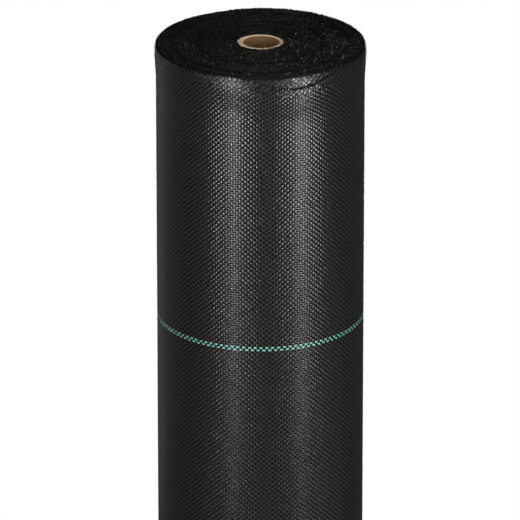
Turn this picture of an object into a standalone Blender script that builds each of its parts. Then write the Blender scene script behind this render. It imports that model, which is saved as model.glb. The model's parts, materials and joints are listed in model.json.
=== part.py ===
"""A roll of woven weed control fabric: one web of cloth wound on an open cardboard core.

The roll stands on one end with its axis along +Z, and the origin is in the middle of its lower end.
The front of the roll faces -Y. The free end of the web is at the back and lifts about an upright axis.
All lengths are in metres and all angles in radians.
"""

import math

import bmesh
import bpy
import numpy as np
from mathutils import Vector

# The web of cloth
WEB_WIDTH = 1.000
WEB_THICKNESS = 0.0004
ROLL_DIAMETER = 0.180
TURN_GAP = 0.00045  # clear space between neighbouring turns of the two spiral forms
INNER_TURNS = 2
OUTER_TURNS = 3

# The cardboard core, which is as long as the web is wide
CORE_BORE = 0.030
CORE_WALL = 0.005
LINER_THICKNESS = 0.0007
WRAP_THICKNESS = 0.0007

# The adhesive strip between the core and the first turn
STRIP_WIDTH = 0.019
STRIP_THICKNESS = 0.0002

# The free end, from the axis that it lifts about to its cut edge
TAIL_LENGTH = 0.057
HINGE_GAP = 0.0003
HINGE_ANGLE = math.radians(72)

# The coloured tracer tapes, two beside each other in each line, counted from the middle of the web
TRACER_WIDTH = 0.0019
TRACER_THICKNESS = 0.0003
TRACER_PITCH = 0.0022
TRACER_SPACING = 0.253
TRACER_EDGE_MARGIN = 0.020
TRACER_END_MARGIN = 0.002

# The edges of the outermost turns: a flare below each edge, a slow wander, and a stretch that sits lower
FLARE = 0.00125
FLARE_DEPTH = 0.0055
FLARE_END = 0.018
FLARE_AT_EDGE_share = 0.3
FLARE_FREE_MARGIN = math.radians(8)  # past both ends of the free end's arc, where no turn flares
FLARE_FADE = math.radians(30)
EDGE_WANDER = 0.0015
EDGE_WANDER_WAVES = 1.7
LOW_EDGE_DROP = 0.0060
LOW_EDGE_PLACE = math.radians(-129)
LOW_EDGE_REACH = math.radians(40)

# The upper end face of the winding has shallow rings, given from the innermost turn to the outermost
RING_DEPTH = 0.0016
RING_PLACE_shares = (0.00, 0.20, 0.45, 0.595, 0.77, 0.91, 1.00)
RING_DEPTH_shares = (0.20, 0.60, 0.00, 1.00, 0.10, 1.00, 0.35)

CLEARANCE = 0.0003  # between pieces that touch

CORE_STEPS = 48
INNER_STEPS = 40
TURN_STEPS = 60
GAP_SAMPLES = 8

# Radii that follow from the sizes above
BORE_RADIUS = CORE_BORE / 2
CORE_RADIUS = BORE_RADIUS + CORE_WALL
LINER_RADIUS = BORE_RADIUS + LINER_THICKNESS
WRAP_RADIUS = CORE_RADIUS - WRAP_THICKNESS
STRIP_RADIUS = CORE_RADIUS + CLEARANCE + STRIP_THICKNESS / 2
TURN_PITCH = WEB_THICKNESS + TURN_GAP
INNER_START_RADIUS = CORE_RADIUS + CLEARANCE + STRIP_THICKNESS + CLEARANCE + WEB_THICKNESS / 2
INNER_END_RADIUS = INNER_START_RADIUS + TURN_PITCH * INNER_TURNS
END_RADIUS = ROLL_DIAMETER / 2 - WEB_THICKNESS / 2
OUTER_START_RADIUS = END_RADIUS - TURN_PITCH * OUTER_TURNS
TURN_STEP = math.tau / TURN_STEPS
FACET_share = math.cos(TURN_STEP / 2)  # a facet's middle is nearer to the axis than its corners
PACK_INNER_RADIUS = (INNER_END_RADIUS + WEB_THICKNESS / 2 + CLEARANCE) / FACET_share
PACK_OUTER_RADIUS = (OUTER_START_RADIUS - WEB_THICKNESS / 2) * FACET_share - CLEARANCE
TAIL_ARC = TAIL_LENGTH / END_RADIUS
TRACER_OUTWARD = WEB_THICKNESS / 2 + CLEARANCE + TRACER_THICKNESS / 2


def clear_scene():
    """Removes whatever the file held."""
    for thing in list(bpy.data.objects):
        bpy.data.objects.remove(thing, do_unlink=True)


def new_collection(name):
    collection = bpy.data.collections.new(name)
    bpy.context.scene.collection.children.link(collection)
    return collection


def new_material(name, colour, roughness):
    material = bpy.data.materials.new(name)
    material.use_nodes = True
    shader = material.node_tree.nodes["Principled BSDF"]
    shader.inputs["Base Color"].default_value = (*colour, 1)
    shader.inputs["Roughness"].default_value = roughness
    shader.inputs["Metallic"].default_value = 0
    return material


def black_web():
    return new_material("black_woven_tape", (0.010, 0.010, 0.011), 0.45)


def black_edges():
    return new_material("black_wound_edges", (0.008, 0.008, 0.008), 0.75)


def teal_tape():
    return new_material("teal_tracer_tape", (0.10, 0.38, 0.33), 0.40)


def kraft_board():
    return new_material("kraft_board", (0.40, 0.27, 0.16), 0.85)


def pale_board():
    return new_material("pale_board", (0.58, 0.44, 0.30), 0.85)


def clear_adhesive():
    return new_material("buff_adhesive_strip", (0.52, 0.42, 0.24), 0.35)


def add_object(name, bm, material, collection):
    """Makes a smooth-shaded object with sharp edges at its corners."""
    mesh = bpy.data.meshes.new(name)
    bm.to_mesh(mesh)
    bm.free()
    mesh.shade_smooth()
    mesh.set_sharp_from_angle(angle=math.radians(35))
    mesh.materials.append(material)
    thing = bpy.data.objects.new(name, mesh)
    collection.objects.link(thing)
    return thing


def turned_ring(name, profile, steps, material, collection):
    """Turns a closed profile of (radius, height) points about the Z axis."""
    bm = bmesh.new()
    corners = [bm.verts.new((radius, 0, height)) for radius, height in profile]
    for first, second in zip(corners, corners[1:] + corners[:1]):
        bm.edges.new((first, second))
    ring = add_object(name, bm, material, collection)
    screw = ring.modifiers.new("turn", "SCREW")
    screw.steps = steps
    screw.render_steps = steps
    screw.use_merge_vertices = True
    screw.merge_threshold = CLEARANCE / 10
    return ring


def tube_profile(inner, outer, bottom, top):
    """A tube's profile, which runs down its outer side and up its bore."""
    return [(outer, top), (outer, bottom), (inner, bottom), (inner, top)]


def bent_sheet(name, turned, levels, place, thickness, material, collection):
    """Bends a flat grid with place(running angle, level) and gives it an even thickness."""
    bm = bmesh.new()
    columns = len(turned) - 1
    rows = len(levels) - 1
    bmesh.ops.create_grid(bm, x_segments=columns, y_segments=rows, size=1)
    for vert in bm.verts:
        column = round((vert.co.x + 1) / 2 * columns)
        row = round((vert.co.y + 1) / 2 * rows)
        vert.co = place(turned[column], levels[row])
    bmesh.ops.recalc_face_normals(bm, faces=bm.faces)
    sheet = add_object(name, bm, material, collection)
    solid = sheet.modifiers.new("thickness", "SOLIDIFY")
    solid.thickness = thickness
    solid.offset = 0
    solid.use_even_offset = True
    return sheet


def facet_corner(index, outward):
    """A corner of the outer spiral's polygon, index steps past the hinge and moved outward square to it."""
    angle = HINGE_ANGLE + index * TURN_STEP
    radius = END_RADIUS + TURN_PITCH * index / TURN_STEPS + outward / FACET_share
    return Vector((radius * math.cos(angle), radius * math.sin(angle), 0))


def on_web(turned, outward):
    """A point on the facets of the outer spiral, at a running angle past the hinge."""
    index = math.floor(turned / TURN_STEP + 1e-6)
    along = turned / TURN_STEP - index
    return facet_corner(index, outward).lerp(facet_corner(index + 1, outward), along)


def facet_angles(start, end):
    """The running angles of a piece's ends and of every corner between them."""
    first = math.floor(start / TURN_STEP + 1e-6) + 1
    last = math.ceil(end / TURN_STEP - 1e-6) - 1
    return [start] + [index * TURN_STEP for index in range(first, last + 1)] + [end]


def flare_share(turned):
    """How much of the flare a running angle has: none at the free end, where the turns lie flat."""
    away = (turned - TAIL_ARC / 2 + math.pi) % math.tau - math.pi
    flat = TAIL_ARC / 2 + FLARE_FREE_MARGIN
    return min(1, max(0, (abs(away) - flat) / FLARE_FADE))


def edge_drop(turned):
    """How far the upper edge of the web lies below its full width at a running angle."""
    wander = EDGE_WANDER * (1 - math.cos(EDGE_WANDER_WAVES * turned)) / 2
    away = abs(turned - LOW_EDGE_PLACE) / LOW_EDGE_REACH
    low = LOW_EDGE_DROP * math.cos(away * math.pi / 2) ** 2 if away < 1 else 0
    return wander + low


# Each level of the web is a distance from its lower or upper edge, and an outward lean there
WEB_LEVELS = (
    ("lower", CLEARANCE, FLARE * FLARE_AT_EDGE_share),
    ("lower", FLARE_DEPTH, FLARE),
    ("lower", FLARE_END, 0),
    ("upper", FLARE_END, 0),
    ("upper", FLARE_DEPTH, FLARE),
    ("upper", CLEARANCE, FLARE * FLARE_AT_EDGE_share),
)


def on_web_level(turned, level):
    """A point of the web's middle surface at one of WEB_LEVELS."""
    edge, distance, lean = level
    point = on_web(turned, lean * flare_share(turned))
    if edge == "lower":
        point.z = distance
    else:
        point.z = WEB_WIDTH - edge_drop(turned) - distance
    return point


def make_core(collection):
    """The core's liner, body and wrap, one inside the other."""
    body_inner = LINER_RADIUS + CLEARANCE
    body_outer = WRAP_RADIUS - CLEARANCE
    liner = tube_profile(BORE_RADIUS, LINER_RADIUS, 0, WEB_WIDTH)
    body = tube_profile(body_inner, body_outer, 0, WEB_WIDTH)
    wrap = tube_profile(WRAP_RADIUS, CORE_RADIUS, 0, WEB_WIDTH)
    board = kraft_board()
    turned_ring("core_inner_ply", liner, CORE_STEPS, board, collection)
    turned_ring("core_body", body, CORE_STEPS, pale_board(), collection)
    turned_ring("core_outer_ply", wrap, CORE_STEPS, board, collection)


def make_start_tape(collection):
    """The adhesive strip along the core, under the web's first edge."""
    steps = max(2, round(STRIP_WIDTH / STRIP_RADIUS / math.tau * CORE_STEPS))
    angles = [STRIP_WIDTH / STRIP_RADIUS * index / steps for index in range(steps + 1)]
    core_facet_share = math.cos(angles[1] / 2)

    def place(angle, height):
        radius = STRIP_RADIUS / core_facet_share
        return Vector((radius * math.cos(angle), radius * math.sin(angle), height))

    levels = (CLEARANCE, WEB_WIDTH - CLEARANCE)
    bent_sheet("start_tape", angles, levels, place, STRIP_THICKNESS, clear_adhesive(), collection)


def on_inner_turn(turned, height):
    """A point of the first turns, at a running angle from the web's first edge."""
    radius = INNER_START_RADIUS + TURN_PITCH * turned / math.tau
    return Vector((radius * math.cos(turned), radius * math.sin(turned), height))


def make_inner_turns(material, collection):
    """The web's first turns on the core."""
    count = INNER_TURNS * INNER_STEPS
    angles = [math.tau * index / INNER_STEPS for index in range(count + 1)]
    levels = (0, WEB_WIDTH)
    bent_sheet("fabric_inner_turns", angles, levels, on_inner_turn, WEB_THICKNESS, material, collection)


def make_pack(collection):
    """The body of the winding, a plain ring with the shallow rings of its upper end face."""
    depth = PACK_OUTER_RADIUS - PACK_INNER_RADIUS
    face = [
        (PACK_INNER_RADIUS + depth * place, WEB_WIDTH - RING_DEPTH * sunk)
        for place, sunk in zip(RING_PLACE_shares, RING_DEPTH_shares)
    ]
    profile = [(PACK_OUTER_RADIUS, 0), (PACK_INNER_RADIUS, 0)] + face
    turned_ring("fabric_pack", profile, TURN_STEPS, black_edges(), collection)


def make_outer_turns(material, collection):
    """The outermost turns, one unbroken spiral that ends at the hinge of the free end."""
    angles = facet_angles(-math.tau * OUTER_TURNS, -HINGE_GAP / 2 / END_RADIUS)
    bent_sheet("fabric_outer_turns", angles, WEB_LEVELS, on_web_level, WEB_THICKNESS, material, collection)


def least_gap(middle_points):
    """The least clear space between neighbouring turns, from points along the web's middle."""
    points = np.array(middle_points)
    order = np.arange(len(points))
    half_turn = TURN_STEPS * GAP_SAMPLES // 2
    apart = np.abs(order[:, None] - order[None, :]) > half_turn
    distance = np.linalg.norm(points[:, None] - points[None, :], axis=2)
    return distance[apart].min() - WEB_THICKNESS


def report_gaps():
    """Prints the least gap of each spiral form to itself."""
    outer = [
        on_web(-index * TURN_STEP / GAP_SAMPLES, 0)
        for index in range(OUTER_TURNS * TURN_STEPS * GAP_SAMPLES + 1)
    ]
    inner = [
        on_inner_turn(index * math.tau / TURN_STEPS / GAP_SAMPLES, 0)
        for index in range(INNER_TURNS * TURN_STEPS * GAP_SAMPLES + 1)
    ]
    print(f"least gap between the outer turns {least_gap(outer) * 1000:.3f} mm")
    print(f"least gap between the inner turns {least_gap(inner) * 1000:.3f} mm")


def tracer_heights():
    """The middle height of each tracer line."""
    reach = WEB_WIDTH / 2 - TRACER_EDGE_MARGIN
    count = math.floor(reach / TRACER_SPACING)
    return [WEB_WIDTH / 2 + TRACER_SPACING * index for index in range(count, -count - 1, -1)]


def make_tracers(prefix, start, end, material, collection):
    """The tracer tapes on the web between two running angles, two in each line."""
    angles = facet_angles(start, end)

    def place(turned, height):
        point = on_web(turned, TRACER_OUTWARD)
        point.z = height
        return point

    tapes = []
    for number, height in enumerate(tracer_heights(), start=1):
        for letter, side in (("a", 1), ("b", -1)):
            middle = height + side * TRACER_PITCH / 2
            levels = (middle - TRACER_WIDTH / 2, middle + TRACER_WIDTH / 2)
            name = f"{prefix}_{number}_{letter}"
            tapes.append(
                bent_sheet(name, angles, levels, place, TRACER_THICKNESS, material, collection)
            )
    return tapes


def move_to_axis(pieces, axis):
    """Hangs pieces on the empty at the lifting axis, with their meshes measured from it."""
    for piece in pieces:
        for vert in piece.data.vertices:
            vert.co -= axis.location
        piece.parent = axis


def make_tail(material, tape, collection):
    """The free end of the web with its tracer tapes, on an empty at the axis that it lifts about."""
    angles = facet_angles(HINGE_GAP / 2 / END_RADIUS, TAIL_ARC)
    tail = bent_sheet("fabric_tail", angles, WEB_LEVELS, on_web_level, WEB_THICKNESS, material, collection)
    margin = TRACER_END_MARGIN / END_RADIUS
    tapes = make_tracers("tail_tracer", margin, TAIL_ARC - margin, tape, collection)
    axis = bpy.data.objects.new("tail_axis", None)
    axis.location = on_web(0, WEB_THICKNESS / 2)
    collection.objects.link(axis)
    move_to_axis([tail, *tapes], axis)
    return axis


def main():
    clear_scene()
    collection = new_collection("weed_control_fabric_roll")
    web = black_web()
    tape = teal_tape()
    make_core(collection)
    make_start_tape(collection)
    make_inner_turns(web, collection)
    make_pack(collection)
    make_outer_turns(web, collection)
    margin = TRACER_END_MARGIN / END_RADIUS
    make_tracers("tracer", TAIL_ARC - math.tau + margin, -margin, tape, collection)
    axis = make_tail(web, tape, collection)
    bpy.context.view_layer.update()
    report_gaps()
    print("tail axis at", tuple(round(value, 6) for value in axis.location))


main()
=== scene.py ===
# %% [markdown]
# # A roll of weed control fabric
#
# The object is one long web of flat plastic tapes, woven plain and wound on a cardboard core. It stands
# on its end. What the eye meets is the weave, its soft gloss in two upright bands of light, the teal line
# woven into it, and the cut edges of about 140 turns round the core. The solid model gives the sizes and
# the place of the hinge on which the free end of the web lifts. Everything seen is modelled here around
# that frame.

# %% Load the frame
import json
import math

import bmesh
import bpy
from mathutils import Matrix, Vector, noise


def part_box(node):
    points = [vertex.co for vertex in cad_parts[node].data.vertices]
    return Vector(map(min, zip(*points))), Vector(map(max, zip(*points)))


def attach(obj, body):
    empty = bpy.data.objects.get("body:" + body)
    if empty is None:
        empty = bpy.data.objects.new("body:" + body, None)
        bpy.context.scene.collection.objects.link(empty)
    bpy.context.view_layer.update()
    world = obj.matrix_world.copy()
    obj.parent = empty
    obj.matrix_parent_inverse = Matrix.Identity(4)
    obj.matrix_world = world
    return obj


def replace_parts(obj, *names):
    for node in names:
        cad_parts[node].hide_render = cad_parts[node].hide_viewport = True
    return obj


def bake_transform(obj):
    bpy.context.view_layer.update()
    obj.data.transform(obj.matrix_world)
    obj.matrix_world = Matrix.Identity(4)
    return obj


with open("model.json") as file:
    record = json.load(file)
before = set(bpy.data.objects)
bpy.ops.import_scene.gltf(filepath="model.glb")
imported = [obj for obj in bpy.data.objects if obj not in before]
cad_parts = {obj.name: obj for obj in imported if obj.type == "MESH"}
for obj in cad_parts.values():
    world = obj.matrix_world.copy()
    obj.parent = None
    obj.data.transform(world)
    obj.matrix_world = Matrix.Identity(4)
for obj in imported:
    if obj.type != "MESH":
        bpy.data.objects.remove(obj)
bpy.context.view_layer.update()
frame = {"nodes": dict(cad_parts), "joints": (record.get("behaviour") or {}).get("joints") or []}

# %% [markdown]
# The sizes come from the frame where it has them. The hinge lies on the outer face of the web, so it
# gives the roll's radius there and the angle at which the free end begins. The two tapes of a tracer line
# lie one warp pitch apart, which sets the pitch of every tape that runs round the roll.

# %% Sizes of the web
WEB_THICKNESS = 0.0004
TURN_PITCH = 0.00085
hinge = Vector(frame["joints"][0]["pos_m"])
hinge_angle = math.atan2(hinge.y, hinge.x)
web_radius = hinge.xy.length - WEB_THICKNESS / 2
web_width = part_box("fabric_pack")[1].z


def middle_height(node):
    low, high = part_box(node)
    return (low.z + high.z) / 2


line_height = (middle_height("tracer_1_a") + middle_height("tracer_1_b")) / 2
warp_pitch = round(middle_height("tracer_1_a") - middle_height("tracer_1_b"), 5)
line_rows = round((line_height - web_width / 2) / warp_pitch)
half_rows = round(web_width / 2 / warp_pitch)
tail_low, tail_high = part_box("fabric_tail")
tail_arc = math.atan2(tail_high.y, tail_low.x) - hinge_angle
print(f"web radius {web_radius:.4f}, warp pitch {warp_pitch}")
print("rows", 2 * half_rows, "upper line at row", line_rows)

# %% [markdown]
# A formula is easier to read as one line than as a picture of nodes. The class below stands for a value
# in a node tree. Adding or multiplying two of them adds the Math node that does it, so the trees further
# down can be written like arithmetic. It serves Geometry Nodes and materials alike. Chance comes from
# noise that depends only on a place and a seed number, so every run gives the same roll.


# %% Formulas in node trees
class Field:
    """A number in a node tree that can be used in a formula."""

    def __init__(self, tree, socket):
        self.tree = tree
        self.socket = socket

    def math(self, operation, *others):
        node = self.tree.nodes.new("ShaderNodeMath")
        node.operation = operation
        for socket, value in zip(node.inputs, (self, *others)):
            feed(self.tree, socket, value)
        return Field(self.tree, node.outputs[0])

    def __add__(self, other):
        return self.math("ADD", other)

    def __sub__(self, other):
        return self.math("SUBTRACT", other)

    def __rsub__(self, other):
        return self.math("MULTIPLY", -1).math("ADD", other)

    def __mul__(self, other):
        return self.math("MULTIPLY", other)

    def __truediv__(self, other):
        return self.math("DIVIDE", other)

    __radd__ = __add__
    __rmul__ = __mul__


def feed(tree, socket, value):
    """Joins a socket to another node's, or writes a plain value in it."""
    if isinstance(value, Field):
        value = value.socket
    if isinstance(value, bpy.types.NodeSocket):
        tree.links.new(value, socket)
    else:
        socket.default_value = value


def add_node(tree, kind, feeds=None, **settings):
    node = tree.nodes.new(kind)
    for name, value in settings.items():
        setattr(node, name, value)
    for key, value in (feeds or {}).items():
        feed(tree, node.inputs[key], value)
    return node


def vector_of(tree, x, y, z):
    return add_node(tree, "ShaderNodeCombineXYZ", {"X": x, "Y": y, "Z": z}).outputs[0]


def parts_of(tree, vector):
    node = add_node(tree, "ShaderNodeSeparateXYZ", {0: vector})
    return [Field(tree, output) for output in node.outputs]


def ramp(value, low, high):
    """Runs smoothly from 0 at low to 1 at high."""
    settings = {"Value": value, "From Min": low, "From Max": high}
    node = add_node(value.tree, "ShaderNodeMapRange", settings, interpolation_type="SMOOTHSTEP")
    return Field(value.tree, node.outputs[0])


def smooth_noise(tree, x, y, z, w=0.0, detail=1.0):
    """Noise between -1 and 1 that changes over about one unit."""
    feeds = {"Vector": vector_of(tree, x, y, z), "W": w, "Scale": 1.0, "Detail": detail}
    node = add_node(tree, "ShaderNodeTexNoise", feeds, noise_dimensions="4D")
    return (Field(tree, node.outputs[0]) - 0.5) * 2


def scatter(tree, x, y, seed):
    """A random number from 0 to 1 that is unlike its neighbours', but always the same for one place."""
    node = add_node(tree, "ShaderNodeTexWhiteNoise", {"Vector": vector_of(tree, x, y, seed)})
    return Field(tree, node.outputs[0])


def swing(tree, x, y, seed, reach):
    """A random number between -reach and reach."""
    return (scatter(tree, x, y, seed) - 0.5) * (2 * reach)


print("formula helpers ready")

# %% [markdown]
# Each repeated form is grown by a Geometry Nodes tree with named inputs. The tree runs once as a modifier
# on an empty mesh. Its result is then copied into a plain mesh, because the modifier has done its work
# and a plain mesh can be bent by the hinge and exported.


# %% Grow a piece from a tree
def new_tree(name, numbers, outputs=(("Geometry", "NodeSocketGeometry"),)):
    """A Geometry Nodes tree with named number inputs, which come back as fields."""
    tree = bpy.data.node_groups.new(name, "GeometryNodeTree")
    for label, kind in outputs:
        tree.interface.new_socket(label, in_out="OUTPUT", socket_type=kind)
    for label, value in numbers.items():
        kind = "NodeSocketInt" if isinstance(value, int) else "NodeSocketFloat"
        tree.interface.new_socket(label, in_out="INPUT", socket_type=kind).default_value = value
    given = tree.nodes.new("NodeGroupInput")
    return tree, {label: Field(tree, given.outputs[label]) for label in numbers}


def point_place(tree):
    """Where a point lies before the tree moves it, as x, y and z."""
    return parts_of(tree, tree.nodes.new("GeometryNodeInputPosition").outputs[0])


def grid(tree, width, height, columns, rows):
    """A flat grid of points about the origin."""
    feeds = {"Size X": width, "Size Y": height, "Vertices X": columns, "Vertices Y": rows}
    return add_node(tree, "GeometryNodeMeshGrid", feeds).outputs[0]


def numbered_points(tree, count):
    """A row of points, and the number of each."""
    line = add_node(tree, "GeometryNodeMeshLine", {"Count": count, "Offset": (1, 0, 0)}).outputs[0]
    return line, Field(tree, tree.nodes.new("GeometryNodeInputIndex").outputs[0])


def moved(tree, geometry, place):
    """Moves every point to the place worked out for it."""
    feeds = {"Geometry": geometry, "Position": place}
    return add_node(tree, "GeometryNodeSetPosition", feeds).outputs[0]


def copied(tree, points, piece, **placing):
    """Stands a copy of a piece on every point."""
    feeds = {"Points": points, "Instance": piece, **placing}
    return add_node(tree, "GeometryNodeInstanceOnPoints", feeds).outputs[0]


def close_tree(tree, geometry, material):
    """Ends a tree in Realize Instances and Set Material."""
    whole = add_node(tree, "GeometryNodeRealizeInstances", {"Geometry": geometry})
    feeds = {"Geometry": whole.outputs[0], "Material": material}
    done = add_node(tree, "GeometryNodeSetMaterial", feeds)
    result = tree.nodes.new("NodeGroupOutput")
    tree.links.new(done.outputs[0], result.inputs[0])


def grow(name, tree, slot, **values):
    """Runs a tree once and returns a plain piece with the material that the tree set. The slot argument
    is not used.
    """
    grower = bpy.data.objects.new(name + "_grower", bpy.data.meshes.new(name + "_grower"))
    bpy.context.scene.collection.objects.link(grower)
    modifier = grower.modifiers.new("grow", "NODES")
    modifier.node_group = tree
    for label, value in values.items():
        socket = tree.interface.items_tree[label.replace("_", " ").capitalize()]
        modifier[socket.identifier] = value
    graph = bpy.context.evaluated_depsgraph_get()
    mesh = bpy.data.meshes.new_from_object(grower.evaluated_get(graph))
    bpy.data.objects.remove(grower)
    material = mesh.materials[-1]
    mesh.materials.clear()
    mesh.materials.append(material)
    return add_piece(name, mesh)


def add_piece(name, mesh):
    mesh.name = name
    piece = bpy.data.objects.new(name, mesh)
    bpy.context.scene.collection.objects.link(piece)
    print(name, len(mesh.polygons), "faces")
    return piece


print("growing helpers ready")

# %% [markdown]
# Slit plastic tape is drawn out lengthwise, which leaves fine streaks along it and a soft gloss across
# it. The material reads the coordinates that each tape carries: along it, across it and its own number.
# They vary the roughness and press the streaks in, whatever way the tape runs. Near the roll's two ends,
# where hands and floors rub the cloth, the gloss is scuffed.


# %% Materials of the tapes
def new_material(name, colour, roughness, shine):
    """A Principled material whose even values sit on the shader's own sockets."""
    material = bpy.data.materials.new(name)
    material.use_nodes = True
    shader = material.node_tree.nodes["Principled BSDF"]
    shader.inputs["Base Color"].default_value = (*colour, 1)
    shader.inputs["Roughness"].default_value = roughness
    shader.inputs["Specular IOR Level"].default_value = shine
    return material, material.node_tree, shader


def colour_between(tree, shader, share, dark, light):
    """Colours a material between two colours by a share from 0 to 1."""
    node = add_node(tree, "ShaderNodeMix", {0: share}, data_type="RGBA")
    node.inputs[6].default_value = (*dark, 1)  # inputs 6 and 7 and output 2 are the ones for colours
    node.inputs[7].default_value = (*light, 1)
    feed(tree, shader.inputs["Base Color"], node.outputs[2])


def object_place(tree):
    """Where a point of the finished piece lies, as x, y and z."""
    return parts_of(tree, add_node(tree, "ShaderNodeTexCoord").outputs["Object"])


def grain(tree, place, sizes, detail=2.0):
    """Noise in the stuff itself, as coarse along each axis as the sizes say."""
    x, y, z = (part / size for part, size in zip(place, sizes))
    return smooth_noise(tree, x, y, z, detail=detail)


def press(tree, shader, height, strength=1.0, distance=1.0):
    """Presses a pattern of heights into a material."""
    feeds = {"Strength": strength, "Distance": distance, "Height": height}
    feed(tree, shader.inputs["Normal"], add_node(tree, "ShaderNodeBump", feeds).outputs[0])


TAPE_WIDTH = 0.0024
CROWN_HEIGHT = 0.00003
STREAK_WIDTH = 0.00012
STREAK_LENGTH = 0.012
STREAK_HEIGHT = 0.000003
STREAK_COLOUR = 0.25
STREAK_ROUGHNESS = 0.03
BLOTCH_WIDTH = 0.004
BLOTCH_LENGTH = 0.02
BLOTCH_COLOUR = 0.35
BLOTCH_ROUGHNESS = 0.05
TAPE_SEED = 7.0  # keeps the streaks of neighbouring tapes unlike
SCUFF_DEPTH = 0.012
SCUFF = 0.08


def tape_material(name, dark, light, roughness, shine):
    material, tree, shader = new_material(name, light, roughness, shine)
    place = add_node(tree, "ShaderNodeAttribute", attribute_name="tape").outputs["Vector"]
    along, across, number = parts_of(tree, place)
    seed = number * TAPE_SEED
    streak = smooth_noise(tree, along / STREAK_LENGTH, across / STREAK_WIDTH, seed, detail=2.0)
    blotch = smooth_noise(tree, along / BLOTCH_LENGTH, across / BLOTCH_WIDTH, number)
    share = streak * STREAK_COLOUR + blotch * BLOTCH_COLOUR + 0.5
    colour_between(tree, shader, share, dark, light)
    z = object_place(tree)[2]
    from_end = web_width / 2 - (z - web_width / 2).math("ABSOLUTE")
    scuff = (1 - ramp(from_end, SCUFF_DEPTH / 4, SCUFF_DEPTH)) * SCUFF
    uneven = blotch * BLOTCH_ROUGHNESS + streak * STREAK_ROUGHNESS
    feed(tree, shader.inputs["Roughness"], uneven + scuff + roughness)
    half = across * (2 / TAPE_WIDTH)
    press(tree, shader, (1 - half * half) * CROWN_HEIGHT + streak * STREAK_HEIGHT)
    return material


black_warp = tape_material("black_warp", (0.008, 0.008, 0.0078), (0.013, 0.0127, 0.012), 0.24, 0.60)
# The weft is coloured darker than the warp, though both are the same black tape, so that the weft floats
# show as dark dots between the glints: painted shade.
black_weft = tape_material("black_weft", (0.002, 0.002, 0.002), (0.005, 0.0049, 0.0048), 0.22, 0.13)
teal_tape = tape_material("teal_tape", (0.053, 0.156, 0.143), (0.109, 0.254, 0.232), 0.25, 0.76)
print("tape materials", black_warp.name, black_weft.name, teal_tape.name)

# %% [markdown]
# Every tape lies on one surface, so its shape is worked out once, in a node group. It takes a place
# counted in tapes, round the roll and up it, and a distance outward. The spacing wanders a little, as in
# any woven tape cloth. Near its edges the web flares and crumples. At one place to the front right it
# sits lower than the turn beneath it, and beside that place the last millimetres of the edge lean outward
# as a lip. Under the free end the turns lie flat, so the flare fades there.

# %% The surface of the roll
WEFTS = 224
WEFT_STEP = math.tau / WEFTS
COLUMN = WEFT_STEP * web_radius
WEFT_WANDER = 0.45
WARP_WANDER = 0.22
WANDER_ACROSS = 9  # tapes over which the spacing changes
WEFT_WANDER_ALONG = 70
WARP_WANDER_ALONG = 40
FLARE = 0.00095
FLARE_DEPTH = 0.0075
FLARE_END = 0.034
FLARE_AT_EDGE = 0.5
CRUMPLE = 0.0003
CRUMPLE_LENGTH = 0.014
CRUMPLE_HEIGHT = 0.009
CRUMPLE_TURNED = 3
CRUMPLE_START = 0.002
CRUMPLE_DEPTH = 0.016
LOW_EDGE_DROP = 0.0095
LOW_EDGE_PLACE = math.radians(-143)
LOW_EDGE_REACH = math.radians(35)
LIP_REACH = 0.0035
LIP_RISE = 0.0013
LIP_PLACE = math.radians(-129)
LIP_SPREAD = math.radians(20)
EDGE_WANDER = 0.0015
EDGE_WANDER_WAVES = 1.7
EDGE_SLACK = 0.06
FREE_MARGIN = math.radians(8)
FLARE_FADE = math.radians(30)
WAVE_HEIGHT = 0.00012
WAVES_ROUND = 2.2
WAVE_LENGTH = 0.16


def away_from(turned, place, reach):
    """0 at an angle round the roll and 1 from a reach away onward."""
    return ((turned - place).math("ABSOLUTE") / reach).math("MINIMUM", 1)


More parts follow.
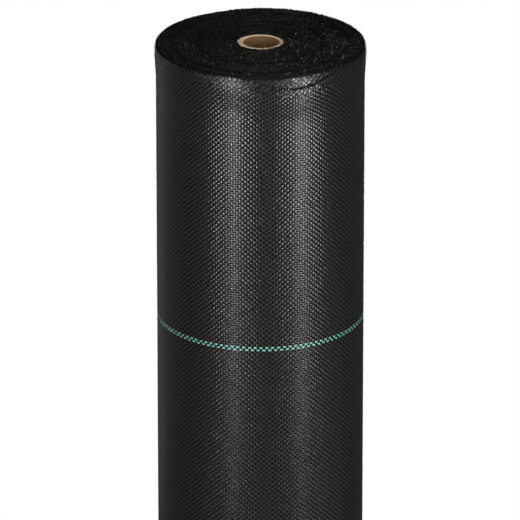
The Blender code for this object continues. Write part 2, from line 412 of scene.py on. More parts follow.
def web_surface():
    numbers = {"Weft": 0.0, "Warp": 0.0, "Outward": 0.0}
    tree, given = new_tree("web_surface", numbers, (("Position", "NodeSocketVector"),))
    weft, warp = given["Weft"], given["Warp"]
    weft_shift = smooth_noise(tree, weft / WANDER_ACROSS, warp / WEFT_WANDER_ALONG, 3.0) * WEFT_WANDER
    warp_shift = smooth_noise(tree, weft / WARP_WANDER_ALONG, warp / WANDER_ACROSS, 8.0) * WARP_WANDER
    turned = (weft + weft_shift) * WEFT_STEP - math.tau
    height = (warp + warp_shift) * warp_pitch + web_width / 2

    away = away_from(turned, LOW_EDGE_PLACE, LOW_EDGE_REACH)
    low = (away * math.pi / 2).math("COSINE").math("POWER", 2) * LOW_EDGE_DROP
    wander = (1 - (turned * EDGE_WANDER_WAVES).math("COSINE")) / 2 * EDGE_WANDER
    drop = low + wander
    height = height - drop * ramp(height, web_width - EDGE_SLACK, web_width)
    inside = height.math("MINIMUM", web_width - drop - height)

    from_free_end = (turned - tail_arc / 2).math("WRAP", math.pi, -math.pi).math("ABSOLUTE")
    flat_half = tail_arc / 2 + FREE_MARGIN
    flaring = ramp(from_free_end, flat_half, flat_half + FLARE_FADE)
    rise = ramp(inside, 0.0, FLARE_DEPTH) * (1 - FLARE_AT_EDGE) + FLARE_AT_EDGE
    flare = rise * (1 - ramp(inside, FLARE_DEPTH, FLARE_END)) * flaring * FLARE
    from_lip = away_from(turned, LIP_PLACE, LIP_SPREAD)
    lip = (1 - ramp(inside, 0.0, LIP_REACH)) * (1 - from_lip * from_lip) * LIP_RISE
    flare = flare + lip * ramp(height, web_width / 2, web_width)

    angle = turned + hinge_angle
    round_x = angle.math("COSINE")
    round_y = angle.math("SINE")
    over = web_radius / CRUMPLE_LENGTH
    own = turned / CRUMPLE_TURNED  # gives each turn folds of its own
    folds = smooth_noise(tree, round_x * over, round_y * over, height / CRUMPLE_HEIGHT, own)
    crumple = folds * (1 - ramp(inside, CRUMPLE_START, CRUMPLE_DEPTH)) * CRUMPLE
    wave = smooth_noise(tree, round_x * WAVES_ROUND, round_y * WAVES_ROUND, height / WAVE_LENGTH, 5.0)
    wound = turned * (TURN_PITCH / math.tau) + web_radius
    radius = wound + given["Outward"] + flare + crumple + wave * WAVE_HEIGHT
    place = vector_of(tree, radius * round_x, radius * round_y, height)
    result = tree.nodes.new("NodeGroupOutput")
    tree.links.new(place, result.inputs[0])
    return tree


surface = web_surface()


def on_roll(tree, geometry, weft, warp, outward=0.0):
    """Moves every point to its place on the surface of the roll."""
    feeds = {"Weft": weft, "Warp": warp, "Outward": outward}
    lay = add_node(tree, "GeometryNodeGroup", feeds, node_tree=surface)
    return moved(tree, geometry, lay.outputs[0])


print("surface of the roll with", len(surface.nodes), "nodes")

# %% [markdown]
# In a plain weave each tape goes over one and under the next, and neighbours do the opposite. The tree
# below makes one straight tape two points wide, with two steps for each crossing, stands copies of it on
# a line of points, and then moves every point onto the roll. A sine along the tape times the tape's own
# sign gives over and under, so the warp and the weft never cut each other. Chance tilts each crossing a
# little, and that is what breaks the light into glints. The last rows at the two edges lie less evenly,
# and they are pressed flatter too, except along the low stretch of edge. Beyond the last crossing the
# tapes fray.

# %% The weave
WARP_CRIMP = 0.00026
WEFT_CRIMP = 0.00014
CRIMP_CHANGE = 0.5
TAPE_SHARE = 0.89
TAPE_SHARE_CHANGE = 0.06
TRACER_SHARE = 0.70
TWIST = 0.00005
FRAY_LENGTH = 0.35
FRAY_SPREAD = 0.0002
CRUSHED_ROWS = 5
FLAT_ROWS = 8
FLATTENED = 0.75
CRUSHED_TWIST = 0.6
CRUSHED_LIFT = 0.00003
CRUSHED_SHIFT = 0.175
NO_FRAY = 1e5
END_POINT = 0.01  # less than a crossing, so that only the last points of a tape fray


def lay_cloth(tree, geometry, weft, warp, outward, on_tape, material):
    """Notes where each point is on its tape, lays the cloth on the roll and ends the tree."""
    noted = add_node(
        tree,
        "GeometryNodeStoreNamedAttribute",
        {"Geometry": geometry, "Name": "tape", "Value": vector_of(tree, *on_tape)},
        data_type="FLOAT_VECTOR",
        domain="POINT",
    )
    laid = on_roll(tree, noted.outputs[0], weft, warp, outward)
    smooth = add_node(tree, "GeometryNodeSetShadeSmooth", {"Geometry": laid})
    close_tree(tree, smooth.outputs[0], material)


def woven_tapes(name, is_warp, material, share=TAPE_SHARE):
    """A tree for tapes round the roll (warp) or up it (weft), each as wide as its share of the pitch."""
    numbers = {
        "Tapes": 10,
        "First tape": 0.0,
        "Crossings": 10,
        "First crossing": 0.0,
        "Skip lines": 0.0,
        "Fray from": NO_FRAY,
    }
    tree, given = new_tree(name, numbers)
    line = add_node(tree, "GeometryNodeMeshLine", {"Count": given["Tapes"], "Offset": (0, 0, 1)})
    tape = grid(tree, 1.0, 1.0, given["Crossings"] * 2 + 1, 2)
    copies = copied(tree, line.outputs[0], tape)
    whole = add_node(tree, "GeometryNodeRealizeInstances", {"Geometry": copies})
    x, side, z = point_place(tree)
    run = (x + 0.5) * given["Crossings"] + given["First crossing"]
    number = (z + given["First tape"]).math("ROUND")
    from_line = (number + 0.5).math("WRAP", line_rows / 2, -line_rows / 2).math("ABSOLUTE")
    is_line = from_line.math("LESS_THAN", 1) * given["Skip lines"]
    feeds = {"Geometry": whole.outputs[0], "Selection": is_line}
    kept = add_node(tree, "GeometryNodeDeleteGeometry", feeds).outputs[0]

    weft, row = (run, number) if is_warp else (number, run)
    from_edge = half_rows - row.math("ABSOLUTE")
    crushed = 1 - ramp(from_edge, 1, CRUSHED_ROWS)
    away = away_from(weft * WEFT_STEP - math.tau, LOW_EDGE_PLACE, LOW_EDGE_REACH)
    flat_share = (1 - ramp(from_edge, 1, FLAT_ROWS)) * away * FLATTENED
    crimp = WARP_CRIMP if is_warp else -WEFT_CRIMP
    crimp = (scatter(tree, run, number, 1.0) * CRIMP_CHANGE + 1 - CRIMP_CHANGE / 2) * crimp
    over_under = (run * math.pi).math("SINE") * (number * math.pi).math("COSINE")
    lift = over_under * (1 - flat_share) * crimp
    twist = side * swing(tree, run, number, 2.0, TWIST) * (crushed * CRUSHED_TWIST + 1)
    uneven = swing(tree, run, side, 6.0, CRUSHED_LIFT) * crushed
    frayed = run.math("ABSOLUTE").math("GREATER_THAN", given["Fray from"])
    fray = frayed * scatter(tree, side, number, 3.0) * FRAY_LENGTH
    spread = frayed * swing(tree, side, number, 4.0, FRAY_SPREAD)
    width = scatter(tree, 0.0, number, 5.0) * TAPE_SHARE_CHANGE + share
    shift = swing(tree, run, number, 7.0, CRUSHED_SHIFT) * crushed
    across = side * width * (1 if is_warp else -1) + number + 0.5 + shift
    along = run + fray * run.math("SIGN") + shift * (1 - frayed)
    weft_there, row_there = (along, across) if is_warp else (across, along)
    on_tape = (run * (COLUMN if is_warp else warp_pitch), side * TAPE_WIDTH, number)
    lay_cloth(tree, kept, weft_there, row_there, lift + twist + uneven + spread, on_tape, material)
    return tree


warp_tree = woven_tapes("warp_tapes", True, black_warp)
weft_tree = woven_tapes("weft_tapes", False, black_weft)
tracer_tree = woven_tapes("tracer_tapes", True, teal_tape, share=TRACER_SHARE)
print("weave trees ready,", WEFTS, "weft tapes to a turn")

# %% [markdown]
# The outermost turn is woven in six bands, one above the other, because a single mesh of all its tapes
# would be too heavy to handle. Where two bands meet, both end half way between two crossings, where a
# tape is at its middle level, so no seam shows. The last two crossings before the hinge belong to the
# free end.

# %% The outermost turn
BANDS = 6
HINGE_WEFTS = 2
roll_wefts = WEFTS - HINGE_WEFTS


def join(name, pieces):
    """Joins finished pieces into one mesh."""
    bm = bmesh.new()
    materials = []
    for piece in pieces:
        had = len(bm.faces)
        bm.from_mesh(piece.data)
        for face in list(bm.faces)[had:]:
            face.material_index = len(materials)
        materials.append(piece.data.materials[0])
    mesh = bpy.data.meshes.new(name)
    bm.to_mesh(mesh)
    bm.free()
    for material in materials:
        mesh.materials.append(material)
    for piece in pieces:
        bpy.data.objects.remove(piece)
    return add_piece(name, mesh)


def woven_cloth(name, first_weft, wefts, first_row, rows, fray_end=NO_FRAY):
    """Warp and weft of one stretch of cloth, without its tracer tapes."""
    around = grow(
        name + "_warp", warp_tree, "black_web", tapes=rows, first_tape=float(first_row), crossings=wefts,
        first_crossing=float(first_weft), skip_lines=1.0, fray_from=fray_end,
    )
    up = grow(
        name + "_weft", weft_tree, "black_web", tapes=wefts, first_tape=float(first_weft), crossings=rows,
        first_crossing=float(first_row), fray_from=half_rows - END_POINT,
    )
    return join(name, [around, up])


band_edges = [round(-half_rows + 2 * half_rows * index / BANDS) for index in range(BANDS + 1)]
bands = []
for index, (low_row, high_row) in enumerate(zip(band_edges, band_edges[1:]), start=1):
    band = woven_cloth(f"woven_band_{index}", 0, roll_wefts, low_row, high_row - low_row)
    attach(band, "roll")
    bands.append(band)
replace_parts(bands[0], "fabric_outer_turns")

# %% [markdown]
# The tracer tapes are woven in like any other warp tape, two beside each other. Where a black weft tape
# passes over them the teal is hidden, and that makes the checks. They are grown with the same tree in
# another colour.

# %% Tracer tapes
def tracer_tapes(prefix, node_prefix, first_weft, wefts, fray_end=NO_FRAY):
    """The two tapes of each of the three lines, over one stretch of cloth."""
    made = []
    for line, level in enumerate((line_rows, 0, -line_rows), start=1):
        for letter, row in (("a", level), ("b", level - 1)):
            tape = grow(
                f"{prefix}_{line}_{letter}", tracer_tree, "teal_tracer", tapes=1, first_tape=float(row),
                crossings=wefts, first_crossing=float(first_weft), fray_from=fray_end,
            )
            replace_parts(tape, f"{node_prefix}_{line}_{letter}")
            made.append(tape)
    return made


for tape in tracer_tapes("tracer_tape", "tracer", 0, roll_wefts):
    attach(tape, "roll")

# %% [markdown]
# The turn beneath shows in two places: under the free end when it is lifted, and above the low stretch of
# edge. Its edges are woven for a few rows, and between them it is a plain sheet, since only slits of it
# are seen.

# %% The turn beneath
EDGE_ROWS = 9
SHEET_LEVELS = 40
plain_rows = half_rows - EDGE_ROWS


def plain_turn(name, first_weft, wefts, low_row, high_row):
    """A smooth sheet of cloth on the same surface as the weave."""
    tree, given = new_tree(name, {"First weft": 0.0, "Wefts": 1, "Low row": 0.0, "High row": 1.0})
    sheet = grid(tree, 1.0, 1.0, given["Wefts"] + 1, SHEET_LEVELS)
    x, y, _ = point_place(tree)
    weft = (x + 0.5) * given["Wefts"] + given["First weft"]
    row = (y + 0.5) * (given["High row"] - given["Low row"]) + given["Low row"]
    # The sheet is real cloth, but it takes the weft's darker colour so that the gaps between the tapes
    # above it show dark: painted shade.
    lay_cloth(tree, sheet, weft, row, 0.0, (weft * COLUMN, row * warp_pitch, 0.0), black_weft)
    return grow(
        name, tree, "black_web", first_weft=float(first_weft), wefts=wefts, low_row=float(low_row),
        high_row=float(high_row),
    )


under_turn = plain_turn("under_turn", -WEFTS, WEFTS, -plain_rows, plain_rows)
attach(under_turn, "roll")
for name, low_row in (("under_edge_top", plain_rows), ("under_edge_base", -half_rows)):
    edge = woven_cloth(name, -WEFTS, WEFTS, low_row, EDGE_ROWS)
    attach(edge, "roll")

# %% [markdown]
# Handling rubs fine fibres loose from the last centimetre below each edge. They lie about upright on the
# cloth and give the rim its soft, ragged glitter. Each is a narrow strip bent outward at its ends, a
# little duller than a whole tape. Copies are stood on points that the surface group gives, turned and
# tilted by chance.

# %% Loose fibres at the rims
FIBRE_WIDTH = 0.00022
FIBRE_LENGTH = 0.0036
FIBRE_BEND = 0.0004
FIBRE_DEPTH = 0.0095
FIBRE_CROWDING = 1.5  # above 1, more of them lie near the edge
FIBRE_LIFT = 0.0003
FIBRE_TILT = 0.18
FIBRE_SLANT = 0.65
FIBRE_TURN = 0.06
FIBRE_SIZE = 0.4
FIBRE_SIZE_CHANGE = 0.8
FIBRE_LEAST_DEPTH = 0.15 * FIBRE_LENGTH
FIBRES = 3200
UNDER_FIBRES = 800
FIBRE_SEED = 11.0


def loose_fibres(material):
    tree, given = new_tree("loose_fibres", {"Fibres": 10, "First weft": 0.0, "Wefts": 1, "Upper": 1.0})
    line, number = numbered_points(tree, given["Fibres"])
    weft = scatter(tree, number, 0.0, FIBRE_SEED) * given["Wefts"] + given["First weft"]
    depth = scatter(tree, number, 1.0, FIBRE_SEED).math("POWER", FIBRE_CROWDING) * FIBRE_DEPTH
    row = (half_rows - (depth + FIBRE_LEAST_DEPTH) / warp_pitch) * given["Upper"]
    outward = scatter(tree, number, 2.0, FIBRE_SEED) * FIBRE_LIFT + WARP_CRIMP
    points = on_roll(tree, line, weft, row, outward)
    strip = grid(tree, FIBRE_WIDTH, FIBRE_LENGTH, 2, 4)
    x, y, _ = point_place(tree)
    bend = y * y * (-4 * FIBRE_BEND / FIBRE_LENGTH**2)
    upright = moved(tree, strip, vector_of(tree, x, bend, y))
    tilt = swing(tree, number, 3.0, FIBRE_SEED, FIBRE_TILT)
    slant = swing(tree, number, 4.0, FIBRE_SEED, FIBRE_SLANT)
    outside = weft * WEFT_STEP + (hinge_angle + math.pi / 2)
    turn = vector_of(tree, tilt, slant, outside + swing(tree, number, 5.0, FIBRE_SEED, FIBRE_TURN))
    size = scatter(tree, number, 6.0, FIBRE_SEED) * FIBRE_SIZE_CHANGE + FIBRE_SIZE
    copies = copied(tree, points, upright, Rotation=turn, Scale=vector_of(tree, 1.0, size, size))
    close_tree(tree, copies, material)
    return tree


black_fibre = tape_material("black_fibre", (0.006, 0.006, 0.006), (0.011, 0.011, 0.0105), 0.28, 0.34)
fibres_tree = loose_fibres(black_fibre)
low_weft = round((LOW_EDGE_PLACE - LOW_EDGE_REACH) / WEFT_STEP)
low_wefts = round(2 * LOW_EDGE_REACH / WEFT_STEP)
free_wefts = math.ceil(tail_arc / WEFT_STEP) + HINGE_WEFTS
for name, first_weft, wefts, fibres, upper in (
    ("fibres_top", free_wefts, roll_wefts - free_wefts, FIBRES, 1.0),
    ("fibres_base", free_wefts, roll_wefts - free_wefts, FIBRES, -1.0),
    ("fibres_beneath", low_weft, low_wefts, UNDER_FIBRES, 1.0),
):
    bore_shade = grow(
        name, fibres_tree, "black_web", fibres=fibres, first_weft=float(first_weft), wefts=wefts,
        upper=upper,
    )
    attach(bore_shade, "roll")

# %% [markdown]
# The free end is the same weave carried on past the hinge. It starts two tapes before the hinge line and
# ends in a cut edge with frayed tapes.

# %% The free end
tail_wefts = round(tail_arc / WEFT_STEP) + HINGE_WEFTS
tail_end = roll_wefts + tail_wefts - END_POINT
free_end = woven_cloth("free_end", roll_wefts, tail_wefts, -half_rows, 2 * half_rows, tail_end)
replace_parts(free_end, "fabric_tail")
tail_tracers = tracer_tapes("free_tracer", "tail_tracer", roll_wefts, tail_wefts, tail_end)


for piece in (free_end, *tail_tracers):
    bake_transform(piece)
print("free end of", tail_wefts, "weft tapes")

# %% [markdown]
# The end face shows the cut edges of all the turns. They are one thin wall that winds from the core
# outward, with a flat top about as thick as the cloth. With equal steps along the cloth, the radius grows
# with the square root of the length, so the wall's points come straight from their number. The top
# wanders, as the web was never wound quite true. It sinks in a few rings, and next to the core it stands
# proud and leans inward.

# %% Edges of the wound turns
WOUND_PITCH = 0.000484
CORE_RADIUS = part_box("core_outer_ply")[1].x
CORE_GAP = 0.0007
FIRST_RADIUS = CORE_RADIUS + CORE_GAP
LAST_RADIUS = web_radius - 2 * TURN_PITCH
WALL = 0.0075
RING_DEPTH = 0.0023
RING_PLACES = (0.00, 0.15, 0.30, 0.42, 0.49, 0.55, 0.70, 0.76, 0.82, 0.88, 1.00)
RING_DEPTHS = (0.05, 0.35, 0.15, 0.20, 1.00, 0.10, 0.15, 0.20, 1.00, 0.30, 0.30)
PROUD = 0.0011
PROUD_REACH = 0.004
INWARD_LEAN = 0.0008
EDGE_SWAY = 0.0004
SWAY_LENGTH = 0.31
EDGE_JAG = 0.00025
EDGE_LEAN = 0.35 * WOUND_PITCH
RIPPLE = 0.0009
RIPPLE_WIDTH = 0.0013
CLOTH_SHARE = 0.75
EDGE_SEED = 6.0
wound_length = math.pi * (LAST_RADIUS**2 - FIRST_RADIUS**2) / WOUND_PITCH
wound_columns = round(wound_length / COLUMN)


def wound_place(tree, along):
    """Radius, angle and edge height at a length along the wound web."""
    radius = (along * (WOUND_PITCH / math.pi) + FIRST_RADIUS**2).math("SQRT")
    angle = (radius - FIRST_RADIUS) * (math.tau / WOUND_PITCH) + hinge_angle
    share = (radius - FIRST_RADIUS) / (LAST_RADIUS - FIRST_RADIUS)
    rings = add_node(tree, "ShaderNodeFloatCurve", {"Value": share})
    curve = rings.mapping.curves[0]
    curve.points[0].location = (RING_PLACES[0], RING_DEPTHS[0])
    curve.points[-1].location = (RING_PLACES[-1], RING_DEPTHS[-1])
    for place, depth in zip(RING_PLACES[1:-1], RING_DEPTHS[1:-1]):
        curve.points.new(place, depth)
    rings.mapping.update()
    sunk = Field(tree, rings.outputs[0]) * RING_DEPTH
    sway = smooth_noise(tree, along / SWAY_LENGTH, 0.0, 0.0, 2.0) * EDGE_SWAY
    ripple = smooth_noise(tree, radius / RIPPLE_WIDTH, angle.math("COSINE"), angle.math("SINE")) * RIPPLE
    near_core = 1 - ramp(radius, FIRST_RADIUS, FIRST_RADIUS + PROUD_REACH)
    return radius - near_core * INWARD_LEAN, angle, web_width + near_core * PROUD - sunk + sway + ripple


def on_end_face(tree, radius, angle, height, upper):
    """A place given for the upper end, or its mirror image at the lower end when upper is -1."""
    level = (height - web_width / 2) * upper + web_width / 2
    return vector_of(tree, radius * angle.math("COSINE"), radius * angle.math("SINE"), level)


def wound_edges(material):
    """One long wall of three rows of points: its foot, then the outer and inner edge of its flat top."""
    tree, given = new_tree("wound_edges", {"Columns": 10, "Upper": 1.0})
    wall = grid(tree, 1.0, 1.0, given["Columns"] + 1, 3)
    x, y, _ = point_place(tree)
    column = (x + 0.5) * given["Columns"]
    radius, angle, edge = wound_place(tree, column * COLUMN)
    is_edge = y.math("GREATER_THAN", -0.25)
    is_inner = y.math("GREATER_THAN", 0.25)
    jag = swing(tree, column, y, EDGE_SEED, EDGE_JAG) * is_edge
    lean = swing(tree, column, 2.0, EDGE_SEED, EDGE_LEAN) * is_edge
    height = edge + jag - (1 - is_edge) * WALL
    outward = radius + lean - is_inner * (WOUND_PITCH * CLOTH_SHARE)
    laid = moved(tree, wall, on_end_face(tree, outward, angle, height, given["Upper"]))
    feeds = {"Mesh": laid, "Selection": given["Upper"].math("LESS_THAN", 0)}
    close_tree(tree, add_node(tree, "GeometryNodeFlipFaces", feeds).outputs[0], material)
    return tree


EDGE_GRAIN = 0.0015
EDGE_RING = 0.0013
RING_WAVES = 1.5


def edge_material():
    """Cut edges of black tape, each a little unlike its neighbour."""
    material, tree, shader = new_material("black_edge", (0.003, 0.003, 0.003), 0.6, 0.08)
    x, y, z = object_place(tree)
    speckle = grain(tree, (x, y, z), (EDGE_GRAIN, EDGE_GRAIN, EDGE_GRAIN))
    radius = (x * x + y * y).math("SQRT")
    ring = smooth_noise(tree, radius / EDGE_RING, x / radius * RING_WAVES, y / radius * RING_WAVES)
    share = (speckle * 0.5 + ring * 0.9 + 0.4).math("MAXIMUM", 0)
    colour_between(tree, shader, share, (0.0006, 0.0006, 0.0006), (0.0045, 0.0045, 0.0045))
    feed(tree, shader.inputs["Roughness"], speckle * 0.12 + 0.6)
    return material


black_edge = edge_material()
edges_tree = wound_edges(black_edge)
end_pieces = []
for name, upper in (("wound_edges_top", 1.0), ("wound_edges_base", -1.0)):
    edges = grow(name, edges_tree, "black_edges", columns=wound_columns, upper=upper)
    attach(edges, "roll")
    end_pieces.append(edges)
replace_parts(end_pieces[0], "fabric_inner_turns")
print(f"wound web of {wound_length:.1f} m in {wound_columns} columns")

# %% [markdown]
# The cut ends of the weft tapes stick up from the edges as small stubs that catch the light. They are one
# bent strip, copied to places along the winding that chance picks, each turned and tilted its own way.
# They are smaller at the rim and larger to the front right, where the roll was rubbed most. Torn plastic
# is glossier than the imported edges, so the stubs have a finish of their own.

# %% Cut ends on the end faces
STUB_WIDTH = 0.0005
STUB_HEIGHT = 0.0009
STUB_ROOT = 0.0004  # how far below the edge it starts
STUB_BEND = 0.5
STUB_TILT = 0.9
STUB_ROLL = 0.4
STUB_SIZE = 0.35
STUB_SIZE_CHANGE = 0.9
STUB_GRAIN = 0.0007
STUB_SEED = 9.0
STUBS = 17000
STUB_STRETCH = wound_length * 0.999
RIM_REACH = 0.006
RIM_LOSS = 0.35
WORN_SIDE = math.radians(-50)
WORN = 0.2


def cut_ends(material):
    tree, given = new_tree("cut_ends", {"Stubs": 10, "Upper": 1.0})
    line, number = numbered_points(tree, given["Stubs"])
    along = (number + scatter(tree, number, 0.0, STUB_SEED)) / given["Stubs"] * STUB_STRETCH
    radius, angle, edge = wound_place(tree, along)
    place = on_end_face(tree, radius, angle, edge - STUB_ROOT, given["Upper"])
    points = moved(tree, line, place)
    strip = grid(tree, STUB_WIDTH, STUB_HEIGHT, 2, 3)
    x, y, _ = point_place(tree)
    rise = y + STUB_HEIGHT / 2
    upright = moved(tree, strip, vector_of(tree, x, rise * rise * (STUB_BEND / STUB_HEIGHT), rise))
    flipped = given["Upper"].math("LESS_THAN", 0) * math.pi
    tilt = swing(tree, number, 1.0, STUB_SEED, STUB_TILT) + flipped
    roll = swing(tree, number, 2.0, STUB_SEED, STUB_ROLL)
    turn = vector_of(tree, tilt, roll, angle + scatter(tree, number, 3.0, STUB_SEED) * math.tau)
    near_rim = ramp(radius, LAST_RADIUS - RIM_REACH, LAST_RADIUS)
    worn = (angle - WORN_SIDE).math("COSINE") * WORN + 1
    size = scatter(tree, number, 4.0, STUB_SEED) * STUB_SIZE_CHANGE + STUB_SIZE
    size = size * (1 - near_rim * RIM_LOSS) * worn
    copies = copied(tree, points, upright, Rotation=turn, Scale=vector_of(tree, size, size, size))
    close_tree(tree, copies, material)
    return tree


def cut_tape_material():
    """Torn plastic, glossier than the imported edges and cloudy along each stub."""
    material, tree, shader = new_material("cut_tape", (0.008, 0.008, 0.008), 0.38, 0.38)
    cloud = grain(tree, object_place(tree), (STUB_GRAIN, STUB_GRAIN, STUB_GRAIN))
    colour_between(tree, shader, cloud * 0.5 + 0.5, (0.004, 0.004, 0.004), (0.012, 0.012, 0.012))
    feed(tree, shader.inputs["Roughness"], cloud * 0.1 + 0.38)
    return material


stubs_tree = cut_ends(cut_tape_material())
for name, upper in (("cut_ends_top", 1.0), ("cut_ends_base", -1.0)):
    stubs = grow(name, stubs_tree, "black_edges", stubs=STUBS, upper=upper)
    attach(stubs, "roll")

# %% [markdown]
# Below the cut edges the winding is a solid mass of cloth. A turned ring closes it, so that no light
# comes through between the turns. A profile of a few points and a Screw modifier are enough for this.


# %% Turned pieces
TURN_STEPS = 96
SEAM_GAP = 0.00001
SHARP_FROM = math.radians(35)


def turned_piece(name, profile, material):
    """Turns a closed profile of (radius, height) points about the roll's axis."""
    bm = bmesh.new()
    corners = [bm.verts.new((radius, 0, height)) for radius, height in profile]
    for first, second in zip(corners, corners[1:] + corners[:1]):
        bm.edges.new((first, second))
    mesh = bpy.data.meshes.new(name)
    bm.to_mesh(mesh)
    bm.free()
    turner = bpy.data.objects.new(name, mesh)
    bpy.context.scene.collection.objects.link(turner)
    screw = turner.modifiers.new("turn", "SCREW")
    screw.steps = TURN_STEPS
    screw.render_steps = TURN_STEPS
    screw.use_merge_vertices = True
    screw.merge_threshold = SEAM_GAP
    graph = bpy.context.evaluated_depsgraph_get()
    whole = bpy.data.meshes.new_from_object(turner.evaluated_get(graph))
    bpy.data.objects.remove(turner)
    whole.materials.clear()
    whole.materials.append(material)
    whole.shade_smooth()
    whole.set_sharp_from_angle(angle=SHARP_FROM)
    piece = add_piece(name, whole)
    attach(piece, "roll")
    return piece


BODY_INSET = 0.0050
body_profile = [
    (LAST_RADIUS, web_width - BODY_INSET),
    (LAST_RADIUS, BODY_INSET),
    (FIRST_RADIUS, BODY_INSET),
    (FIRST_RADIUS, web_width - BODY_INSET),
]
winding_body = turned_piece("winding_body", body_profile, black_edge)
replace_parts(winding_body, "fabric_pack")

# %% [markdown]
# The core is a spiral-wound tube of paperboard. Its end shows the plies as fine rings, and the inside of
# the bore shows the slanting seam where the edges of the liner meet. The three layers are turned pieces
# with small grooves in their ends, and the seam is worked out in the material from the angle and the
# height. A used core is never true: towards the upper end the bore moves a little off the middle and the
# rim is dented. The liner is painted paler near its mouth and darker deeper down, as painted shade of the
# bore.

# %% The cardboard core
BORE_RADIUS = 0.015
LINER_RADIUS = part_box("core_inner_ply")[1].x
BOARD_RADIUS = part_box("core_body")[1].x
PLY_GROOVE = 0.00025
PLY_SHOULDER = 0.18
PLY_SLOPE = 0.3
BOARD_PLIES = 5
SEAM_LEAD = 0.11
BORE_SHIFT = Vector((0.0013, 0.0020, 0))
END_WEAR = 0.0005
BORE_WEAR = 0.03
DENTS_PER_M = 500
BORE_SHADE_DEPTH = 0.012
PAPER_FIBRE = (0.0006, 0.0006, 0.003)
PAPER_CLOUD = (0.012, 0.012, 0.03)
SEAM_HALF = 0.006
SEAM_STEP = 4


def board_material(name, dark, light, seam_share, bore_shade_share=0.0):
    material, tree, shader = new_material(name, light, 0.85, 0.2)
    x, y, z = object_place(tree)
    phase = (z / SEAM_LEAD - y.math("ARCTAN2", x) / math.tau).math("FRACT")
    fibre = grain(tree, (x, y, z), PAPER_FIBRE, detail=4.0)
    share = fibre * 0.35 + grain(tree, (x, y, z), PAPER_CLOUD) * 0.3 + 0.5
    seam = (phase - 0.5).math("ABSOLUTE").math("LESS_THAN", SEAM_HALF) * seam_share
    # Painted shade of the bore: the liner is coloured paler near its mouth and darker deeper down.
    bore_shade = (ramp(z, web_width - BORE_SHADE_DEPTH, web_width) - 0.5) * bore_shade_share
    colour_between(tree, shader, share - seam + bore_shade, dark, light)
    press(tree, shader, fibre - seam * SEAM_STEP, strength=0.5, distance=0.0001)
    return material


# The liner's last number sets the strength of the bore's painted shade.
liner_board = board_material("liner_board", (0.045, 0.023, 0.009), (0.12, 0.066, 0.030), 0.5, 0.55)
body_board = board_material("body_board", (0.20, 0.15, 0.09), (0.42, 0.34, 0.235), 0.0)
wrap_board = board_material("wrap_board", (0.20, 0.14, 0.08), (0.36, 0.27, 0.17), 0.5)


def ply_end(inner, outer, plies, top):
    """The end of several plies, from the outer one inward, with a groove between neighbours."""
    ply = (outer - inner) / plies
    points = []
    for index in range(plies):
        start = outer - ply * index
        points += [
            (start, top - PLY_GROOVE),
            (start - ply * PLY_SHOULDER, top),
            (start - ply * (1 - PLY_SHOULDER), top - PLY_GROOVE * PLY_SLOPE),
        ]
    return points + [(inner, top - PLY_GROOVE)]


def core_layer(name, inner, outer, plies, material):
    """A turned layer of the core, worn and pushed aside towards its upper end."""
    upper = ply_end(inner, outer, plies, web_width)
    lower = [(radius, web_width - height) for radius, height in reversed(upper)]
    profile = [upper[0], lower[-1], *reversed(lower[:-1]), *reversed(upper[1:])]
    piece = turned_piece(name, profile, material)
    for vertex in piece.data.vertices:
        depth = (CORE_RADIUS - vertex.co.xy.length) / (CORE_RADIUS - BORE_RADIUS)
        worn = depth * vertex.co.z / web_width
        dent = noise.noise(vertex.co * DENTS_PER_M) * worn
        vertex.co.xy *= 1 + dent * BORE_WEAR
        vertex.co.z -= (dent + worn / 2) * END_WEAR
        vertex.co += BORE_SHIFT * worn
    return piece


GLUE = 0.00005
for name, inner, outer, plies, board, node in (
    ("core_liner", BORE_RADIUS, LINER_RADIUS, 1, liner_board, "core_inner_ply"),
    ("core_board", LINER_RADIUS + GLUE, BOARD_RADIUS, BOARD_PLIES, body_board, "core_body"),
    ("core_wrap", BOARD_RADIUS + GLUE, CORE_RADIUS, 1, wrap_board, "core_outer_ply"),
):
    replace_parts(core_layer(name, inner, outer, plies, board), node)

# %% [markdown]
# The strip of adhesive tape that starts the winding is a plain bent strip, and the solid model's shape is
# right for it. It keeps its node and gets a buff film material with faint creases, whose hollows carry
# painted shade.

# %% The adhesive strip
CREASES = (0.004, 0.004, 0.0015)


def film_material():
    material, tree, shader = new_material("buff_film", (0.50, 0.40, 0.22), 0.35, 0.4)
    crease_and_shade = grain(tree, object_place(tree), CREASES, detail=3.0)
    # Painted shade: the film is coloured darker where its creases are pressed in.
    colour_between(tree, shader, crease_and_shade * 0.5 + 0.5, (0.42, 0.32, 0.16), (0.56, 0.46, 0.27))
    press(tree, shader, crease_and_shade, strength=0.3, distance=0.0001)
    return material


frame["nodes"]["start_tape"].material_slots[0].material = film_material()
print("adhesive strip finished")

# %% [markdown]
# The roll stands on a pale floor. Near it the floor is a real surface that takes its shadow, and further
# off it turns into plain white, as in a studio picture. Gloss sees that white at a part of its strength,
# because full white would turn the rounded sides of black cloth grey.
#
# A round, glossy thing shows each lamp as an upright band. Two tall, narrow boxes in front make the two
# bands. A broad, faint box over the end face lights the cut edges, and weak boxes beside and behind the
# roll keep its sides and back from going flat.

# %% Floor, lights and camera
scene = bpy.context.scene
scene.view_settings.view_transform = "Standard"
FLOOR_SIZE = 40.0
FLOOR_DROP = 0.0018  # the lower edge wanders this far down, and it doesn't sink into the floor
SHADOW_NEAR = 0.4
WHITE_FROM = 1.35
WHITE_NEAR = 0.1
WORLD_LIGHT = 0.11
WARM_WHITE = (1, 0.985, 0.96)
WHITE_IN_GLOSS = 0.067


def kinds_of_ray(tree):
    """Tells whether a ray comes straight from the camera or through glass, in gloss or by diffusion."""
    path = add_node(tree, "ShaderNodeLightPath").outputs
    direct = Field(tree, path["Is Camera Ray"]).math("MAXIMUM", Field(tree, path["Is Transmission Ray"]))
    return direct, Field(tree, path["Is Glossy Ray"]), Field(tree, path["Is Diffuse Ray"])


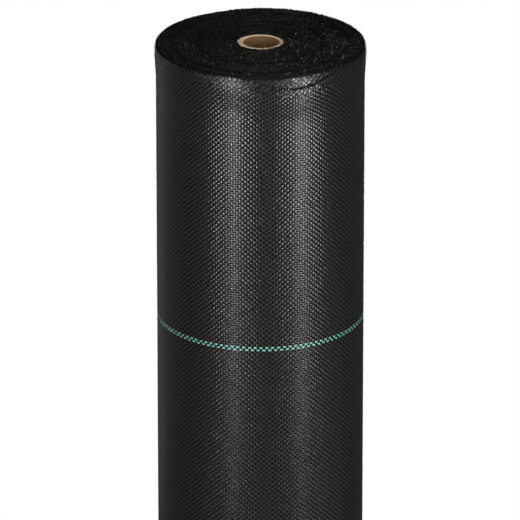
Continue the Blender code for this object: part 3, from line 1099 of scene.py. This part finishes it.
def make_floor():
    bm = bmesh.new()
    bmesh.ops.create_grid(bm, x_segments=1, y_segments=1, size=FLOOR_SIZE / 2)
    mesh = bpy.data.meshes.new("floor")
    bm.to_mesh(mesh)
    bm.free()
    floor = bpy.data.objects.new("floor", mesh)
    floor.location.z = -FLOOR_DROP
    scene.collection.objects.link(floor)
    material, tree, shader = new_material("pale_floor", (0.88, 0.88, 0.88), 0.9, 0.1)
    x, y, _ = object_place(tree)
    far = ramp((x * x + y * y).math("SQRT"), SHADOW_NEAR, WHITE_FROM)
    direct, in_gloss, _ = kinds_of_ray(tree)
    white = direct + in_gloss * WHITE_IN_GLOSS
    glow = add_node(tree, "ShaderNodeEmission", {"Color": (1, 1, 1, 1), "Strength": white})
    share = direct * (far * (1 - WHITE_NEAR) + WHITE_NEAR) + in_gloss
    blend = add_node(tree, "ShaderNodeMixShader", {0: share, 1: shader.outputs[0], 2: glow.outputs[0]})
    feed(tree, tree.nodes["Material Output"].inputs[0], blend.outputs[0])
    mesh.materials.append(material)


def make_world():
    world = bpy.data.worlds.new("studio")
    scene.world = world
    world.use_nodes = True
    tree = world.node_tree
    tree.nodes.clear()
    direct, in_gloss, in_diffuse = kinds_of_ray(tree)
    strength = direct + in_gloss * WHITE_IN_GLOSS + in_diffuse * WORLD_LIGHT
    sky = add_node(tree, "ShaderNodeBackground", {"Color": (1, 1, 1, 1), "Strength": strength})
    out = tree.nodes.new("ShaderNodeOutputWorld")
    tree.links.new(sky.outputs[0], out.inputs[0])


HIGHEST_AIM = 1.1


def soft_light(name, azimuth, distance, height, size, power, spread):
    """A soft box. Azimuth is counted from the camera's side of the roll, to the right."""
    lamp = bpy.data.lights.new(name, "AREA")
    lamp.shape = "RECTANGLE"
    lamp.size, lamp.size_y = size
    lamp.energy = power
    lamp.color = WARM_WHITE
    lamp.spread = math.radians(spread)
    light = bpy.data.objects.new(name, lamp)
    turn = math.radians(azimuth)
    light.location = (distance * math.sin(turn), -distance * math.cos(turn), height)
    aim = Vector((0, 0, min(height, HIGHEST_AIM))) - light.location
    light.rotation_euler = aim.to_track_quat("-Z", "Y").to_euler()
    light.visible_camera = False
    scene.collection.objects.link(light)


make_floor()
make_world()
for lamp in (
    ("left_box", -28, 1.8, 1.21, (0.20, 1.92), 15.2, 90),
    ("right_box", 44.5, 1.8, 1.21, (0.32, 1.92), 18.5, 90),
    ("top_box", 0, 0.6, 3.2, (1.2, 1.2), 4, 40),
    ("left_side_box", -120, 2.2, 1.2, (0.8, 1.8), 1.0, 120),
    ("left_near_box", -125, 1.1, 0.55, (1.5, 0.9), 0.17, 120),
    ("left_edge_box", -138, 1.1, 0.55, (0.3, 0.9), 0.08, 120),
    ("right_near_box", 78, 1.0, 0.21, (0.6, 0.33), 0.08, 120),
    ("left_rear_box", -173, 1.8, 0.60, (0.20, 1.10), 4.5, 90),
    ("right_rear_box", 173, 1.8, 0.60, (0.20, 1.10), 2.2, 90),
):
    soft_light(*lamp)

PICTURE = 520
SENSOR = 36.0
FOCAL_PX = 7000
CAMERA_ELEVATION = math.radians(21.53)
PX_PER_M = 1168.5
TOP_MIDDLE_PX = (260.1, 42.4)
FARTHEST = 60


def make_camera():
    """A long lens, aimed so that the middle of the upper end lands on its place in the picture."""
    lens = bpy.data.cameras.new("camera")
    lens.sensor_width = SENSOR
    lens.lens = FOCAL_PX / PICTURE * SENSOR
    camera = bpy.data.objects.new("camera", lens)
    distance = FOCAL_PX / PX_PER_M
    back = Vector((0, -math.cos(CAMERA_ELEVATION), math.sin(CAMERA_ELEVATION)))
    up = Vector((0, math.sin(CAMERA_ELEVATION), math.cos(CAMERA_ELEVATION)))
    right = Vector((1, 0, 0))
    across = (TOP_MIDDLE_PX[0] - PICTURE / 2) / PX_PER_M
    rise = (PICTURE / 2 - TOP_MIDDLE_PX[1]) / PX_PER_M
    camera.location = Vector((0, 0, web_width)) - right * across - up * rise + back * distance
    camera.rotation_euler = (math.pi / 2 - CAMERA_ELEVATION, 0, 0)
    lens.clip_end = FARTHEST
    scene.collection.objects.link(camera)
    scene.camera = camera


make_camera()
print("camera at", [round(value, 3) for value in scene.camera.location])
